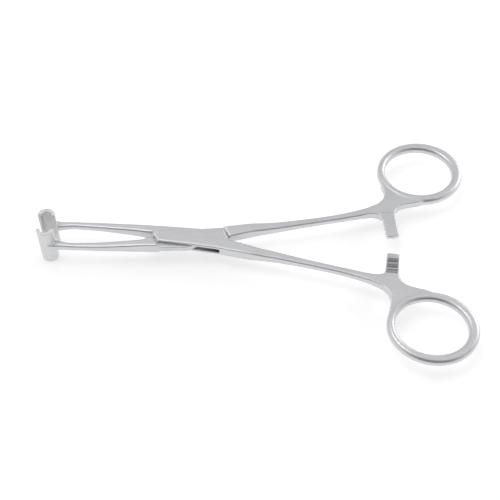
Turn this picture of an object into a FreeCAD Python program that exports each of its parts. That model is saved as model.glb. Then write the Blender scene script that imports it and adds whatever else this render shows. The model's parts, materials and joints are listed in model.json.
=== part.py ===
# Hemostatic forceps with a box lock, ring handles, a ratchet and toothed half-tube jaws.
# Every half is drawn in its closed pose about the pin, X along the instrument with the
# jaws at -X, Z along the pin. Each half then turns open to the resting pose.
import FreeCAD, Part
import math
import os

os.makedirs("parts", exist_ok=True)
V = FreeCAD.Vector

# Pose and running clearances
HALF_OPEN = 2.92          # degrees that each half is turned open from closed
SHOULDER_GAP = 0.30       # box edge to tongue shoulder when closed
TONGUE_GAP = 0.05         # each side of the tongue in the slot
PIN_GAP = 0.04            # radial, pin in the tongue
TOOTH_GAP = 0.10          # between the meshed jaw teeth

# Box lock
LOCK_T = 5.2              # full thickness over both cheeks
TONGUE_T = 2.5
SLOT_T = TONGUE_T + 2 * TONGUE_GAP
PIN_R = 1.2
SLOT_END = 12.2           # solid end of the slot, from the pin
CHEEK_TOP = 4.45          # half width of the lock at the pin, upper edge
CHEEK_LOW = 3.9
CHEEK_JAW = ((-14.0, -3.30), (-16.46, 0.75))    # slanting end of the cheeks, jaw side
CHEEK_RING = ((13.5, 4.39), (15.6, -0.05))      # and ring side, outer corner first
CHEEK_WAIST = (-12.0, 0.03)                     # upper edge: x and how much narrower
CHEEK_SWELL = (10.3, 0.78)                      # lower edge: x and how much wider
SLOT_REACH = (18.5, 9.0)  # corner of the slot's cut, clear of the lock
TONGUE_IN = (17.6, 17.5)  # where the tongue ends inside the shank roots
LOCK_EDGE = 0.55          # rounding on the long edges
SHOULDER_BEVEL = 0.6      # bevel on the cheek ends and the shoulders that face them
BEVEL_PAST = (1.0, 0.3)   # the bevel runs past the outer and the inner corner
TONGUE_W = (4.6, 4.75)    # half widths of the tongue, jaw side and ring side
JAW_ROOT_X = -20.0        # where the jaw shanks leave the lock
HANDLE_ROOT_X = 25.2      # where the handle shanks leave the lock

# Jaws
JAW_X = -60.4             # axis of the half tubes
JAW_R = 3.6
JAW_BORE = 2.2
JAW_L = 20.0
JAW_CORNER = 1.2
TEETH = 21
TOOTH_DEPTH = 0.5

# Handle end
WEB_T = 3.4               # flat web between shank, ring and ratchet
RING_T = 3.8
RING_X, RING_Y = 100.6, 34.0
RING_TILT = 1.7
HOLE_A, HOLE_B = 14.9, 12.5
RING_NEAR, RING_FAR, RING_SIDE = 3.4, 4.4, 3.95
RING_ROUND = 1.45

# Ratchet, measured along the bar from its tip
TIP_PAST = 1.0            # how far a tip passes the centre line when the jaws meet
CATCH_FIRST = 2.9
CATCH_PITCH = 2.65
CATCHES = 3
CATCH_OVERLAP = 0.25      # crest past the middle plane
CATCH_DEPTH = 1.15
CATCH_LAND = 0.3          # flat on a crest, and run of its steep face
BAR_ROOT = 11.6           # y of the bar's root in the web
BAR_ROOT_X = (81.7, 87.3)
BAR_TIP_X = (82.85, 87.95)
BAR_CORNER = (2.2, 0.8)   # clipped outer corner of the tip
PLAIN_GAP = 0.12          # plain tip face to the middle plane
BAR_BACK = 2.3            # back face of the bar from the middle plane

# Shank stations: x, y of the centre, width in the plane, thickness along the pin
HANDLE = [
    (HANDLE_ROOT_X, 4.36, 4.40, LOCK_T),
    (33.6, 5.40, 3.60, 4.05),
    (42.2, 6.66, 3.08, 3.45),
    (50.8, 8.06, 2.78, 3.10),
    (59.4, 9.48, 2.66, 3.00),
    (68.0, 11.12, 2.92, 3.10),
    (74.5, 12.60, 3.35, WEB_T),
    (80.0, 14.30, 3.60, WEB_T),
]
JAW_SHANK = [
    (JAW_ROOT_X, 2.53, 3.55, LOCK_T),
    (-26.1, 2.83, 3.20, 4.45),
    (-33.7, 2.97, 2.90, 3.65),
    (-40.4, 2.99, 2.60, 3.20),
    (-46.7, 2.86, 2.35, 2.95),
    (-51.5, 2.62, 2.30, 2.95),
    (-55.0, 2.15, 2.75, 3.20),
    (JAW_X + 3.0, 1.95, 3.40, 3.40),
    (JAW_X + 0.8, 1.95, 3.65, 3.40),
]
SHANK_ROUND = 0.65


def prism(points, z0, z1):
    wire = Part.makePolygon([V(x, y, z0) for x, y in points + points[:1]])
    return Part.Face(wire).extrude(V(0, 0, z1 - z0))


def section(x, y, angle, width, thick, radius):
    # Rounded rectangle square to the shank at one station.
    side = V(-math.sin(angle), math.cos(angle), 0)
    up = V(0, 0, 1)
    a, b = width / 2, thick / 2
    centre = V(x, y, 0)
    edges = []
    corners = [(1, 1), (-1, 1), (-1, -1), (1, -1)]
    k = radius * (1 - math.sqrt(0.5))
    for i, (p, q) in enumerate(corners):
        n, m = corners[(i + 1) % 4]
        at = lambda u, w: centre + side * u + up * w
        if q == m:
            start = at(p * (a - radius), q * b)
            end = at(n * (a - radius), m * b)
            turn = at(n * a, m * (b - radius))
        else:
            start = at(p * a, q * (b - radius))
            end = at(n * a, m * (b - radius))
            turn = at(n * (a - radius), m * b)
        edges.append(Part.makeLine(start, end))
        edges.append(Part.Arc(end, at(n * (a - k), m * (b - k)), turn).toShape())
    return Part.Wire(edges)


def shank(stations, sign):
    wires = []
    for i, (x, y, width, thick) in enumerate(stations):
        x0, y0 = stations[max(i - 1, 0)][:2]
        x1, y1 = stations[min(i + 1, len(stations) - 1)][:2]
        angle = 0.0 if i == 0 else math.atan2(sign * (y1 - y0), x1 - x0)
        wires.append(section(x, sign * y, angle, width, thick, SHANK_ROUND))
    return Part.makeLoft(wires, True, False)


def outline_edges(shape, z, keep):
    # Edges lying in the plane z whose middle passes the keep test.
    found = []
    for edge in shape.Edges:
        box = edge.BoundBox
        if abs(box.ZMin - z) < 1e-6 and abs(box.ZMax - z) < 1e-6:
            mid = edge.valueAt((edge.FirstParameter + edge.LastParameter) / 2)
            if keep(mid):
                found.append(edge)
    return found


def soften(shape, half, radius, keep=lambda p: True):
    edges = outline_edges(shape, half, keep) + outline_edges(shape, -half, keep)
    return shape.makeFillet(radius, edges)


def ellipse(cx, cy, a, b, tilt, z0, height):
    curve = Part.Ellipse(V(0, 0, 0), a, b) if a >= b else Part.Ellipse(V(0, 0, 0), b, a)
    face = Part.Face(Part.Wire([curve.toShape()]))
    if a < b:
        face.rotate(V(0, 0, 0), V(0, 0, 1), 90)
    face.rotate(V(0, 0, 0), V(0, 0, 1), tilt)
    face.translate(V(cx, cy, z0))
    return face.extrude(V(0, 0, height))


def mirror_y(points, sign):
    out = [(x, sign * y) for x, y in points]
    return out if sign > 0 else out[::-1]


def handle_end(sign):
    # Ring, web and ratchet bar of one half; sign +1 is the upper handle.
    shift = (RING_FAR - RING_NEAR) / 2
    outer = ellipse(RING_X + shift, sign * RING_Y, HOLE_A + (RING_FAR + RING_NEAR) / 2,
                    HOLE_B + RING_SIDE, sign * RING_TILT, -RING_T / 2, RING_T)
    hole = ellipse(RING_X, sign * RING_Y, HOLE_A, HOLE_B, sign * RING_TILT,
                   -RING_T, 2 * RING_T)
    ring = outer.cut(hole)
    ring = soften(ring, RING_T / 2, RING_ROUND)
    # The web's outline, point by point from what it joins: the shank's end, the ring's outer
    # edge, the hole (which trims it), the ring again below, and the ratchet bar.
    end_x, end_y = HANDLE[-1][:2]
    low = RING_Y - HOLE_B - RING_SIDE
    bar_left, bar_right = BAR_ROOT_X
    by_ring = lambda dx, dy: (RING_X + dx, RING_Y + dy)
    throat = [
        (end_x - 3.0, end_y + 0.65), (end_x + 0.8, end_y + 2.4),
        by_ring(-17.5, -15.1), by_ring(-16.4, -12.6), by_ring(-16.3, -9.6),
        by_ring(-17.2, -6.6), by_ring(-15.8, -3.5), by_ring(-12.9, -8.0),
        by_ring(-8.4, -12.1), by_ring(-2.4, -14.4),
        (RING_X + 1.2, low + 0.9), (RING_X - 2.4, low - 0.4), (RING_X - 5.1, low - 0.8),
        (RING_X - 8.0, low - 1.35), (RING_X - 10.4, low - 2.25),
        (bar_right + 1.3, low - 3.5), (bar_right + 0.4, low - 5.2), (bar_right, low - 7.2),
        (bar_right, BAR_ROOT - 1.6), (bar_left, BAR_ROOT - 1.6),
        (bar_left - 1.0, BAR_ROOT - 0.8), (bar_left - 2.5, BAR_ROOT - 0.3),
        (end_x - 3.0, end_y - 2.9), (end_x - 6.5, end_y - 3.3), (end_x - 6.5, end_y - 1.3),
    ]
    web = prism(mirror_y(throat, sign), -WEB_T / 2, WEB_T / 2)
    web = web.cut(hole)
    return ring, web


def ratchet_bar(sign):
    # The upper handle's bar lies above the middle plane with its teeth facing down;
    # the lower handle's bar is the same bar below the plane with its teeth facing up.
    root, tip = BAR_ROOT, -TIP_PAST
    plan = [(BAR_ROOT_X[0], root), (BAR_TIP_X[0], tip + 0.25), (BAR_TIP_X[0] + 0.35, tip),
            (BAR_TIP_X[1] - BAR_CORNER[0], tip), (BAR_TIP_X[1], tip + BAR_CORNER[1]),
            (BAR_ROOT_X[1], root)]
    crest, valley = -CATCH_OVERLAP, CATCH_DEPTH - CATCH_OVERLAP
    lead = PLAIN_GAP + 0.5
    profile = [(tip - 1.0, BAR_BACK + 1), (tip - 1.0, lead), (tip, lead),
               (tip + 0.7, PLAIN_GAP), (tip + 1.6, PLAIN_GAP)]
    for i in range(CATCHES):
        y = tip + CATCH_FIRST + i * CATCH_PITCH
        profile += [(y - CATCH_LAND, crest), (y, crest), (y + CATCH_LAND, valley)]
    profile += [(profile[-1][0] + 0.5, valley), (root + 0.8, -WEB_T / 3), (root + 0.8, BAR_BACK + 1)]
    pts = [V(BAR_ROOT_X[0] - 5, sign * y, z) for y, z in profile]
    side = Part.Face(Part.makePolygon(pts + pts[:1]))
    past_tip = 3 * (BAR_TIP_X[1] - BAR_ROOT_X[0])
    bar = prism(mirror_y(plan, sign), -BAR_BACK, BAR_BACK)
    bar = bar.common(side.extrude(V(past_tip, 0, 0)))
    return bar if sign > 0 else bar.mirror(V(0, 0, 0), V(0, 0, 1))


def handle(sign):
    ring, web = handle_end(sign)
    body = shank(HANDLE, sign).fuse([web, ring, ratchet_bar(sign)])
    return body.removeSplitter()


def jaw_shank(sign):
    body = shank(JAW_SHANK, sign)
    saddle = Part.makeCylinder(JAW_R, 4 * JAW_L, V(JAW_X, 0, -2 * JAW_L), V(0, 0, 1))
    return body.cut(saddle)


def root_edges(stations):
    # Inner and outer edge of a shank where it leaves the lock.
    y, width = stations[0][1:3]
    return y - width / 2, y + width / 2


def shoulder(edge, gap):
    # The cheek's end edge moved off the cheek by the gap.
    (px, py), (qx, qy) = edge
    dx, dy = qx - px, qy - py
    n = math.hypot(dx, dy)
    ox, oy = -dy / n * gap, dx / n * gap
    return (px + ox, py + oy), (qx + ox, qy + oy)


def at_y(edge, y):
    (px, py), (qx, qy) = edge
    return px + (y - py) / (qy - py) * (qx - px), y


def lock_block(plan, ends):
    # Plate of full thickness with its long edges rounded. The slanting ends stay sharp here.
    half = LOCK_T / 2
    middles = [((p[0] + q[0]) / 2, (p[1] + q[1]) / 2) for p, q in ends]
    long_edge = lambda m: (JAW_ROOT_X + 0.01 < m.x < HANDLE_ROOT_X - 0.01 and
                           all(math.hypot(m.x - x, m.y - y) > 0.5 for x, y in middles))
    return soften(prism(plan, -half, half), half, LOCK_EDGE, long_edge)


def bevel_end(plate, edge, side):
    # Bevel a slanting end on both faces. The edge runs from its outer to its inner corner,
    # and side is +1 where the plate lies to its right.
    (px, py), (qx, qy) = edge
    length = math.hypot(qx - px, qy - py)
    along = V(qx - px, qy - py, 0) * (1 / length)
    out = V(-along.y, along.x, 0) * side
    start = V(px, py, 0) - along * BEVEL_PAST[0]
    half, size = LOCK_T / 2, SHOULDER_BEVEL
    for face in (1, -1):
        corners = [(-size - 1, half + 1), (1, half - size - 1), (1, half + 1)]
        pts = [start + out * u + V(0, 0, face * w) for u, w in corners]
        wedge = Part.Face(Part.makePolygon(pts + pts[:1]))
        plate = plate.cut(wedge.extrude(along * (length + sum(BEVEL_PAST))))
    return plate


def box_half():
    jaw_low, jaw_top = root_edges(JAW_SHANK)
    ring_low, ring_top = root_edges(HANDLE)
    plan = [
        (JAW_ROOT_X, jaw_top), (CHEEK_WAIST[0], CHEEK_TOP - CHEEK_WAIST[1]), (0.0, CHEEK_TOP),
        CHEEK_RING[0], CHEEK_RING[1], (HANDLE_ROOT_X, -ring_low), (HANDLE_ROOT_X, -ring_top),
        (CHEEK_SWELL[0], -CHEEK_LOW - CHEEK_SWELL[1]), (0.0, -CHEEK_LOW),
        CHEEK_JAW[0], CHEEK_JAW[1], (JAW_ROOT_X, jaw_low),
    ]
    block = lock_block(plan, [CHEEK_JAW, CHEEK_RING])
    block = bevel_end(bevel_end(block, CHEEK_JAW, 1), CHEEK_RING, 1)
    x, y = SLOT_REACH
    slot = [
        (-SLOT_END, y), (-SLOT_END, 1.85), CHEEK_JAW[1], (-x, 0.4), (-x, -y),
        (SLOT_END, -y), (SLOT_END, -1.35), (16.2, -0.35), (x, 1.0), (x, y),
    ]
    block = block.cut(prism(slot, -SLOT_T / 2, SLOT_T / 2))
    body = block.fuse([jaw_shank(1), handle(-1)]).removeSplitter()
    return body.cut(Part.makeCylinder(PIN_R, 2 * LOCK_T, V(0, 0, -LOCK_T)))


def tongue_half():
    jaw_low, jaw_top = root_edges(JAW_SHANK)
    ring_low, ring_top = root_edges(HANDLE)
    jaw_line = shoulder(CHEEK_JAW, SHOULDER_GAP)
    ring_line = shoulder(CHEEK_RING, SHOULDER_GAP)
    left_low, left_top = at_y(jaw_line, -TONGUE_W[0]), at_y(jaw_line, 0.42)
    right_top, right_low = at_y(ring_line, TONGUE_W[1] + 0.35), at_y(ring_line, 0.12)
    left_in, right_in = TONGUE_IN
    left = lock_block([(JAW_ROOT_X, -jaw_top), left_low, left_top, (-left_in, 0.30),
                       (JAW_ROOT_X, -jaw_low)], [(left_low, left_top)])
    right = lock_block([right_low, (16.4, 0.22), (HANDLE_ROOT_X, ring_low),
                        (HANDLE_ROOT_X, ring_top), right_top], [(right_top, right_low)])
    tongue = prism([left_low, (-2.0, -TONGUE_W[0]), right_low, (right_in, 0.62), (right_in, 4.8),
                    right_top, (8.0, TONGUE_W[1] + 0.05), (1.0, TONGUE_W[1] - 0.15), left_top,
                    (-left_in, 0.0), (-left_in - 0.4, -4.0)],
                   -TONGUE_T / 2, TONGUE_T / 2)
    left = bevel_end(left, (left_low, left_top), -1)
    right = bevel_end(right, (right_top, right_low), -1)
    tongue = tongue.fuse([left, right])
    body = tongue.fuse([jaw_shank(-1), handle(1)]).removeSplitter()
    return body.cut(Part.makeCylinder(PIN_R + PIN_GAP, 2 * LOCK_T, V(0, 0, -LOCK_T)))


def tooth_comb(shift):
    # Everything below the toothed rim, so that cutting it leaves pointed teeth.
    pitch = JAW_L / TEETH
    crest = (TOOTH_GAP - TOOTH_DEPTH) / 2
    x, start = JAW_X - 2 * JAW_R, -JAW_L / 2 - (1.0 + shift) * pitch
    pts = []
    for i in range(TEETH + 3):
        z = start + i * pitch
        pts += [V(x, crest, z), V(x, crest + TOOTH_DEPTH, z + pitch / 2)]
    last = start + (TEETH + 3) * pitch
    pts += [V(x, crest, last), V(x, -2 * JAW_R, last), V(x, -2 * JAW_R, start)]
    return Part.Face(Part.makePolygon(pts + pts[:1])).extrude(V(2 * JAW_R, 0, 0))


def jaw_side():
    # Side view of a jaw, square at the arch and rounded at both ends of the rims.
    x, z1 = JAW_X - 2 * JAW_R, JAW_L / 2
    top, low, r = JAW_R + 1, (TOOTH_GAP - TOOTH_DEPTH) / 2, JAW_CORNER
    c = r * (1 - math.sqrt(0.5))
    edges = [
        Part.makeLine(V(x, top, -z1), V(x, low + r, -z1)),
        Part.Arc(V(x, low + r, -z1), V(x, low + c, c - z1), V(x, low, r - z1)).toShape(),
        Part.makeLine(V(x, low, r - z1), V(x, low, z1 - r)),
        Part.Arc(V(x, low, z1 - r), V(x, low + c, z1 - c), V(x, low + r, z1)).toShape(),
        Part.makeLine(V(x, low + r, z1), V(x, top, z1)),
        Part.makeLine(V(x, top, z1), V(x, top, -z1)),
    ]
    return Part.Face(Part.Wire(edges)).extrude(V(4 * JAW_R, 0, 0))


def jaw(sign):
    # Half tube along Z: toothed rim at the tip side, plain rim at the shank side.
    # The lower jaw's teeth are half a pitch off, so the two rows mesh.
    tube = Part.makeCylinder(JAW_R, JAW_L, V(JAW_X, 0, -JAW_L / 2))
    tube = tube.cut(Part.makeCylinder(JAW_BORE, 2 * JAW_L, V(JAW_X, 0, -JAW_L)))
    plain = Part.makeBox(2 * JAW_R, 2 * JAW_R, 2 * JAW_L,
                         V(JAW_X, TOOTH_GAP / 2 - 2 * JAW_R, -JAW_L))
    tube = tube.cut(plain).cut(tooth_comb(0.0 if sign > 0 else 0.5))
    body = tube.common(jaw_side())
    return body if sign > 0 else body.mirror(V(0, 0, 0), V(0, 1, 0))


def place(shape, turn):
    shape = shape.copy()
    shape.rotate(V(0, 0, 0), V(0, 0, 1), turn)
    shape.translate(V(0, 0, LOCK_T / 2))
    return shape


def save(name, shape):
    solids = shape.Solids
    print(name, len(solids), "solids", shape.isValid(), round(shape.Volume, 2))
    out = solids[0] if len(solids) == 1 else shape
    out.exportStep("parts/" + name + ".step")


pin = Part.makeCylinder(PIN_R, LOCK_T, V(0, 0, -LOCK_T / 2))
save("box_half", place(box_half(), -HALF_OPEN))
save("tongue_half", place(tongue_half(), HALF_OPEN))
save("box_lock_pin", place(pin, -HALF_OPEN))
save("upper_jaw", place(jaw(1), -HALF_OPEN))
save("lower_jaw", place(jaw(-1), HALF_OPEN))
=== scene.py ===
import json
import math

import bmesh
import bpy
from mathutils import Matrix, Vector


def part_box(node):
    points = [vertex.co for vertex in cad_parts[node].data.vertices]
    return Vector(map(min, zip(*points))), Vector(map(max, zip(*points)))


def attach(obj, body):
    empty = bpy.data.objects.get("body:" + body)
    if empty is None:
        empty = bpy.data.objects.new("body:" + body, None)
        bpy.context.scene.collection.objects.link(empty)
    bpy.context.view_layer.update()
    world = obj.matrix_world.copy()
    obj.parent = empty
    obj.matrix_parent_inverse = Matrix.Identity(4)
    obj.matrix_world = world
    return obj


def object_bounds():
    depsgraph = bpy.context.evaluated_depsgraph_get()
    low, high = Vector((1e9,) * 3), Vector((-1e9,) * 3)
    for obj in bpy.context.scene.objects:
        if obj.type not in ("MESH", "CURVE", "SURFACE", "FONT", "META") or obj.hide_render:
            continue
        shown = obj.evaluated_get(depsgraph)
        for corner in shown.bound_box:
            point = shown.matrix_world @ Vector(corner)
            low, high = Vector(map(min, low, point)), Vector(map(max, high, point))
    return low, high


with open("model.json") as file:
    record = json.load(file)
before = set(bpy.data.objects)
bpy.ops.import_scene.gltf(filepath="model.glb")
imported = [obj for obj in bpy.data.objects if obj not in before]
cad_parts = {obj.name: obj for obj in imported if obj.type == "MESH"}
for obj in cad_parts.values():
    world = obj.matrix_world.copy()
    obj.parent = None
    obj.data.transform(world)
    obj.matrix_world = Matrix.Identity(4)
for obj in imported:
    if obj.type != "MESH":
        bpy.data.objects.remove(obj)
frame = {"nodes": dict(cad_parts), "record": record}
cad_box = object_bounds()

# The camera
# The photograph looks down on the instrument from about 57 degrees above the table,
# from the side of the lower handle, and from only 43 cm, so the near ends look larger.
photo_width_px = 500.0
focal_length_px = 1011.1
film_width_mm = 36.0
lock_middle = 0.0026
eye = Vector((0.01973, -0.23703, 0.35590 + lock_middle))
eye_axes = Matrix((
    (0.999447, -0.031060, -0.011848),
    (0.019513, 0.836668, -0.547362),
    (0.026914, 0.546828, 0.836812),
))
camera_data = bpy.data.cameras.new("view")
camera_data.sensor_width = film_width_mm
camera_data.lens = focal_length_px * film_width_mm / photo_width_px
camera_data.clip_start = 0.01
camera = bpy.data.objects.new("view", camera_data)
camera.matrix_world = Matrix.Translation(eye) @ eye_axes.to_4x4()
bpy.context.scene.collection.objects.link(camera)
bpy.context.scene.camera = camera
bpy.context.scene.view_settings.view_transform = "Standard"

# The studio
# A white sweep in a plain white room, with one soft panel overhead and one low at the
# ring side. Steel mirrors the room, so the room sets its grey.
sweep_half_width = 3.0
sweep_gap = 0.0002
paper_grey = 0.70
paper_glow_to_eye = 0.46
paper_glow_to_steel = 0.58
room_light = 0.80
dark_side_light = 0.20
dark_side_way = (0.05, -0.83, 0.55)
dark_side_rim = 0.55
dark_side_core = 0.92
panel_width = 0.35
panel_aim = Vector((0.02, 0.0, 0.0))


def shader_node(nodes, kind, values=None, **settings):
    # One shader node, with its settings and the values of its unlinked sockets.
    node = nodes.new("ShaderNode" + kind)
    for name, setting in settings.items():
        setattr(node, name, setting)
    for name, value in (values or {}).items():
        node.inputs[name].default_value = value
    return node


sweep = bmesh.new()
bmesh.ops.create_grid(sweep, x_segments=1, y_segments=1, size=sweep_half_width)
bmesh.ops.translate(sweep, vec=(0.0, 0.0, cad_box[0][2] - sweep_gap), verts=sweep.verts)
sweep_mesh = bpy.data.meshes.new("sweep")
sweep.to_mesh(sweep_mesh)
sweep.free()
table = bpy.data.objects.new("sweep", sweep_mesh)
bpy.context.scene.collection.objects.link(table)

paper = bpy.data.materials.new("white_paper")
paper.use_nodes = True
nodes, links = paper.node_tree.nodes, paper.node_tree.links
nodes.clear()
out = shader_node(nodes, "OutputMaterial")
matt = shader_node(nodes, "BsdfDiffuse", {"Color": (paper_grey, paper_grey, paper_grey, 1.0)})
glow = shader_node(nodes, "Emission")
seen = shader_node(nodes, "LightPath")
to_eye = shader_node(nodes, "Math", {1: paper_glow_to_eye}, operation="MULTIPLY")
to_steel = shader_node(nodes, "Math", {1: paper_glow_to_steel}, operation="MULTIPLY_ADD")
both = shader_node(nodes, "AddShader")
links.new(seen.outputs["Is Camera Ray"], to_eye.inputs[0])
links.new(seen.outputs["Is Glossy Ray"], to_steel.inputs[0])
links.new(to_eye.outputs[0], to_steel.inputs[2])
links.new(to_steel.outputs[0], glow.inputs["Strength"])
links.new(matt.outputs[0], both.inputs[0])
links.new(glow.outputs[0], both.inputs[1])
links.new(both.outputs[0], out.inputs["Surface"])
sweep_mesh.materials.append(paper)

# The photographer's side of the room is darker, and steel that faces it shows that.
room = bpy.data.worlds.new("white_room")
room.use_nodes = True
nodes, links = room.node_tree.nodes, room.node_tree.links
nodes.clear()
out = shader_node(nodes, "OutputWorld")
back = shader_node(nodes, "Background", {"Color": (1.0, 1.0, 1.0, 1.0)})
seen = shader_node(nodes, "LightPath")
backdrop = shader_node(nodes, "Math", operation="MAXIMUM")
way = shader_node(nodes, "TexCoord")
facing = shader_node(nodes, "VectorMath", operation="DOT_PRODUCT")
facing.inputs[1].default_value = dark_side_way
shade = shader_node(nodes, "MapRange", {
    "From Min": dark_side_rim, "From Max": dark_side_core,
    "To Min": room_light, "To Max": dark_side_light,
}, interpolation_type="SMOOTHSTEP")
level = shader_node(nodes, "Mix", {"B": 1.0}, data_type="FLOAT")
links.new(seen.outputs["Is Camera Ray"], backdrop.inputs[0])
links.new(seen.outputs["Is Transmission Ray"], backdrop.inputs[1])
links.new(way.outputs["Generated"], facing.inputs[0])
links.new(facing.outputs["Value"], shade.inputs["Value"])
links.new(backdrop.outputs[0], level.inputs["Factor"])
links.new(shade.outputs["Result"], level.inputs["A"])
links.new(level.outputs["Result"], back.inputs["Strength"])
links.new(back.outputs[0], out.inputs["Surface"])
bpy.context.scene.world = room

for name, place, watts in (
    ("panel_above", (-0.15, 0.05, 0.70), 0.9),
    ("panel_side", (0.50, 0.30, 0.30), 0.8),
):
    panel = bpy.data.lights.new(name, "AREA")
    panel.shape = "DISK"
    panel.size = panel_width
    panel.energy = watts
    stand = bpy.data.objects.new(name, panel)
    tilt = (panel_aim - Vector(place)).to_track_quat("-Z", "Y").to_matrix().to_4x4()
    stand.matrix_world = Matrix.Translation(place) @ tilt
    bpy.context.scene.collection.objects.link(stand)

# The two forged halves
# Stainless steel, drop forged, machined at the box lock and ratchet, then satined all
# over with glass beads, so the face is even with a fine grain; the edges and bevels get
# painted highlights.
half_finish = {"grey": 0.60, "rough": 0.36, "cool": 1.035, "grain_size": 0.00022,
               "cloud_size": 0.0105, "draw": 0.06, "bump": 0.25}
grain_depth = 0.00002
drawn_lines_per_m = 2600.0
noise_low, noise_high = 0.32, 0.68
# The third factor colours the outer edges lighter than the flats: a painted highlight.
cloud_dark, cloud_light, painted_edge_light = 0.93, 1.03, 1.22
green_share = 0.005
drawn_low, drawn_high = 0.3, 0.7
drawn_smoother, drawn_rougher, edge_smoother = 0.05, 0.06, 0.12
edge_width = 0.0009
edge_turn_none, edge_turn_full = 0.995, 0.80
# The grey of the 45 degree bevels, lighter than the flats: a painted highlight.
bevel_highlight_grey = 0.86
bevel_slope = math.sqrt(0.5)
bevel_slack_none, bevel_slack_full = 0.06, 0.01
pin_radius = 0.5 * (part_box("box_lock_pin")[1].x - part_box("box_lock_pin")[0].x)
pin_land = 0.0007
pin_blend = 0.0004


def node_group(name, sockets):
    # An empty shader group with its named sockets, and its own input and output nodes.
    group = bpy.data.node_groups.new(name, "ShaderNodeTree")
    for label, side, kind in sockets:
        group.interface.new_socket(label, in_out=side, socket_type="NodeSocket" + kind)
    return group, group.nodes.new("NodeGroupInput"), group.nodes.new("NodeGroupOutput")


def grain_group():
    # The grain that the glass beads leave, over the fine lines of an earlier polish drawn
    # along the instrument, and slow clouds in the tone.
    group, given, result = node_group("satin_grain", (
        ("Grain Size", "INPUT", "Float"),
        ("Cloud Size", "INPUT", "Float"),
        ("Draw Along X", "INPUT", "Float"),
        ("Grain", "OUTPUT", "Float"),
        ("Draw", "OUTPUT", "Float"),
        ("Cloud", "OUTPUT", "Float"),
    ))
    nodes, links = group.nodes, group.links
    place = shader_node(nodes, "TexCoord")
    for size, name, detail in (("Grain Size", "Grain", 2.0), ("Cloud Size", "Cloud", 4.0)):
        per_metre = shader_node(nodes, "Math", {0: 1.0}, operation="DIVIDE")
        noise = shader_node(nodes, "TexNoise", {"Detail": detail})
        links.new(given.outputs[size], per_metre.inputs[1])
        links.new(per_metre.outputs[0], noise.inputs["Scale"])
        links.new(place.outputs["Object"], noise.inputs["Vector"])
        links.new(noise.outputs["Fac"], result.inputs[name])
    stretch = shader_node(nodes, "CombineXYZ", {"Y": 1.0, "Z": 1.0})
    drawn = shader_node(nodes, "VectorMath", operation="MULTIPLY")
    lines = shader_node(nodes, "TexNoise", {"Scale": drawn_lines_per_m, "Detail": 3.0})
    links.new(given.outputs["Draw Along X"], stretch.inputs["X"])
    links.new(place.outputs["Object"], drawn.inputs[0])
    links.new(stretch.outputs[0], drawn.inputs[1])
    links.new(drawn.outputs[0], lines.inputs["Vector"])
    links.new(lines.outputs["Fac"], result.inputs["Draw"])
    return group


def edge_group():
    # Masks of the outer edges, which get a painted highlight and a smoother gloss, and of the
    # ground bevels, which get a painted highlight, and the normal of the edges that the
    # finishing wheel has rounded.
    group, given, result = node_group("edge_highlight_gloss_and_rounding", (
        ("Width", "INPUT", "Float"),
        ("Mask", "OUTPUT", "Float"),
        ("Bevel", "OUTPUT", "Float"),
        ("Rounded", "OUTPUT", "Vector"),
    ))
    nodes, links = group.nodes, group.links
    wheel = shader_node(nodes, "Bevel", samples=6)
    face = shader_node(nodes, "NewGeometry")
    links.new(given.outputs["Width"], wheel.inputs["Radius"])
    # The pin is ground flush with the cheek, so no edge is rounded close to its axis.
    place = shader_node(nodes, "TexCoord")
    level_place = shader_node(nodes, "VectorMath", operation="MULTIPLY")
    level_place.inputs[1].default_value = (1.0, 1.0, 0.0)
    from_pin = shader_node(nodes, "VectorMath", operation="LENGTH")
    clear = shader_node(nodes, "MapRange", {
        "From Min": pin_radius + pin_land, "From Max": pin_radius + pin_land + pin_blend,
    })
    links.new(place.outputs["Object"], level_place.inputs[0])
    links.new(level_place.outputs[0], from_pin.inputs[0])
    links.new(from_pin.outputs["Value"], clear.inputs["Value"])
    # In a Mix node set to vectors, sockets 4 and 5 are the two vectors and 1 the result.
    normal = shader_node(nodes, "Mix", data_type="VECTOR")
    links.new(clear.outputs["Result"], normal.inputs["Factor"])
    links.new(face.outputs["Normal"], normal.inputs[4])
    links.new(wheel.outputs["Normal"], normal.inputs[5])
    links.new(normal.outputs[1], result.inputs["Rounded"])
    turn = shader_node(nodes, "VectorMath", operation="DOT_PRODUCT")
    mask = shader_node(nodes, "MapRange", {
        "From Min": edge_turn_none, "From Max": edge_turn_full,
    })
    links.new(normal.outputs[1], turn.inputs[0])
    links.new(face.outputs["Normal"], turn.inputs[1])
    links.new(turn.outputs["Value"], mask.inputs["Value"])
    links.new(mask.outputs["Result"], result.inputs["Mask"])
    # A bevel ground at 45 degrees to the flats gets the strongest painted highlight of all.
    split = shader_node(nodes, "SeparateXYZ")
    slope = shader_node(nodes, "Math", operation="ABSOLUTE")
    off = shader_node(nodes, "Math", {1: bevel_slope}, operation="SUBTRACT")
    away = shader_node(nodes, "Math", operation="ABSOLUTE")
    bevel_highlight = shader_node(nodes, "MapRange", {
        "From Min": bevel_slack_none, "From Max": bevel_slack_full,
    })
    links.new(face.outputs["Normal"], split.inputs[0])
    links.new(split.outputs["Z"], slope.inputs[0])
    links.new(slope.outputs[0], off.inputs[0])
    links.new(off.outputs[0], away.inputs[0])
    links.new(away.outputs[0], bevel_highlight.inputs["Value"])
    links.new(bevel_highlight.outputs["Result"], result.inputs["Bevel"])
    return group


satin_grain = grain_group()
edge_highlight_gloss_and_rounding = edge_group()


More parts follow.
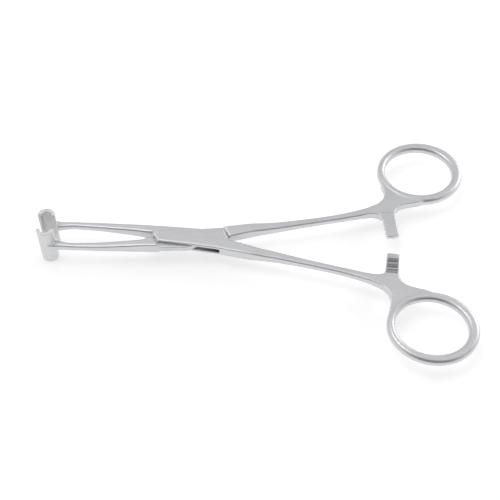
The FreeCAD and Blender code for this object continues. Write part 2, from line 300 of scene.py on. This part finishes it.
def satin_steel(name, grey, rough, cool, grain_size, cloud_size, draw, bump):
    # Steel whose grey, gloss and fine relief all follow the same grain.
    def tint(share, green=0.0):
        return (grey * share, grey * (share + green), grey * share * cool, 1.0)

    steel = bpy.data.materials.new(name)
    steel.use_nodes = True
    nodes, links = steel.node_tree.nodes, steel.node_tree.links
    shader = nodes["Principled BSDF"]
    shader.inputs["Metallic"].default_value = 1.0
    grain = nodes.new("ShaderNodeGroup")
    grain.node_tree = satin_grain
    grain.inputs["Grain Size"].default_value = grain_size
    grain.inputs["Cloud Size"].default_value = cloud_size
    grain.inputs["Draw Along X"].default_value = draw
    edges = nodes.new("ShaderNodeGroup")
    edges.node_tree = edge_highlight_gloss_and_rounding
    edges.inputs["Width"].default_value = edge_width

    blend = shader_node(nodes, "Mix", {"Factor": 0.5}, data_type="FLOAT")
    tone = shader_node(nodes, "ValToRGB")
    dark, light = tone.color_ramp.elements
    dark.position, dark.color = noise_low, tint(cloud_dark, green_share)
    light.position, light.color = noise_high, tint(cloud_light, green_share)
    # Painted highlight: the outer edges are coloured lighter than the flats.
    edge_highlight_mix = shader_node(nodes, "Mix", {"B": tint(painted_edge_light)}, data_type="RGBA")
    # Painted highlight: the 45 degree bevels are coloured a light grey.
    bevel_highlight = shader_node(nodes, "Mix", {"B": (bevel_highlight_grey, bevel_highlight_grey, bevel_highlight_grey, 1.0)},
                         data_type="RGBA")
    links.new(grain.outputs["Cloud"], blend.inputs["A"])
    links.new(grain.outputs["Draw"], blend.inputs["B"])
    links.new(blend.outputs["Result"], tone.inputs["Fac"])
    links.new(edges.outputs["Mask"], edge_highlight_mix.inputs["Factor"])
    links.new(tone.outputs["Color"], edge_highlight_mix.inputs["A"])
    links.new(edges.outputs["Bevel"], bevel_highlight.inputs["Factor"])
    links.new(edge_highlight_mix.outputs["Result"], bevel_highlight.inputs["A"])
    links.new(bevel_highlight.outputs["Result"], shader.inputs["Base Color"])

    gloss = shader_node(nodes, "MapRange", {
        "From Min": drawn_low, "From Max": drawn_high,
        "To Min": rough - drawn_smoother, "To Max": rough + drawn_rougher,
    })
    edge_gloss = shader_node(nodes, "Mix", {"B": rough - edge_smoother}, data_type="FLOAT")
    links.new(grain.outputs["Draw"], gloss.inputs["Value"])
    links.new(edges.outputs["Mask"], edge_gloss.inputs["Factor"])
    links.new(gloss.outputs["Result"], edge_gloss.inputs["A"])
    links.new(edge_gloss.outputs["Result"], shader.inputs["Roughness"])

    relief = shader_node(nodes, "Bump", {"Strength": bump, "Distance": grain_depth})
    links.new(grain.outputs["Grain"], relief.inputs["Height"])
    links.new(edges.outputs["Rounded"], relief.inputs["Normal"])
    links.new(relief.outputs["Normal"], shader.inputs["Normal"])
    return steel


def finish_in(node, material):
    # The whole CAD node gets one material.
    piece = frame["nodes"][node]
    for slot in piece.material_slots:
        slot.material = material
    if not piece.material_slots:
        piece.data.materials.append(material)


half_steel = satin_steel("half_steel", **half_finish)
finish_in("box_half", half_steel)
finish_in("tongue_half", half_steel)

# The box lock pin
# A short steel pin through both cheeks and the tongue, peened over and ground flush, then
# satined together with the halves, so that it hardly shows in the cheek.
finish_in("box_lock_pin", satin_steel("pin_steel", **half_finish))

# The jaws
# Half tubes milled from bar, toothed along the tip-side rim and brazed across the
# ends of the shanks, with a slightly coarser bead-blasted face.
jaw_finish = {"grey": 0.70, "rough": 0.56, "cool": 1.01, "grain_size": 0.00028,
              "cloud_size": 0.0018, "draw": 0.5, "bump": 0.6}
jaw_steel = satin_steel("jaw_steel", **jaw_finish)
finish_in("upper_jaw", jaw_steel)
finish_in("lower_jaw", jaw_steel)

# The braze beads
# Silver braze, drawn round the end of each shank where it meets the back of its jaw, then
# dressed and satined with the jaw into one soft swelling.
tube_radius = 0.5 * (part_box("upper_jaw")[1].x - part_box("upper_jaw")[0].x)
bead_rise, bead_foot, bead_sink = 0.0008, 0.0002, 0.00004
bead_middle, bead_reach = math.radians(50.0), math.radians(46.0)
bead_half_length = 0.0026


def braze_bead(name, body, mount, side):
    # A round ball laid on the tube: its upper half swells off the wall, the rest is in it.
    jaw_axis = Vector(mount["pos_m"])
    bead = bmesh.new()
    bmesh.ops.create_uvsphere(bead, u_segments=48, v_segments=24, radius=1.0)
    for vert in bead.verts:
        across, along, up = vert.co
        turn = bead_middle + bead_reach * across
        rise = bead_rise * up * up if up > 0.0 else bead_foot * up
        reach = tube_radius - bead_sink + rise
        vert.co = jaw_axis + Vector((reach * math.cos(turn), side * reach * math.sin(turn),
                                     bead_half_length * along))
    bmesh.ops.recalc_face_normals(bead, faces=bead.faces)
    mesh = bpy.data.meshes.new(name)
    bead.to_mesh(mesh)
    bead.free()
    mesh.shade_smooth()
    mesh.materials.append(jaw_steel)
    piece = bpy.data.objects.new(name, mesh)
    bpy.context.scene.collection.objects.link(piece)
    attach(piece, body)


hollows = {mount["name"]: mount for mount in frame["record"]["mounts"]}
braze_bead("upper_jaw_braze", "box_side", hollows["upper_jaw_hollow"], 1)
braze_bead("lower_jaw_braze", "tongue_side", hollows["lower_jaw_hollow"], -1)
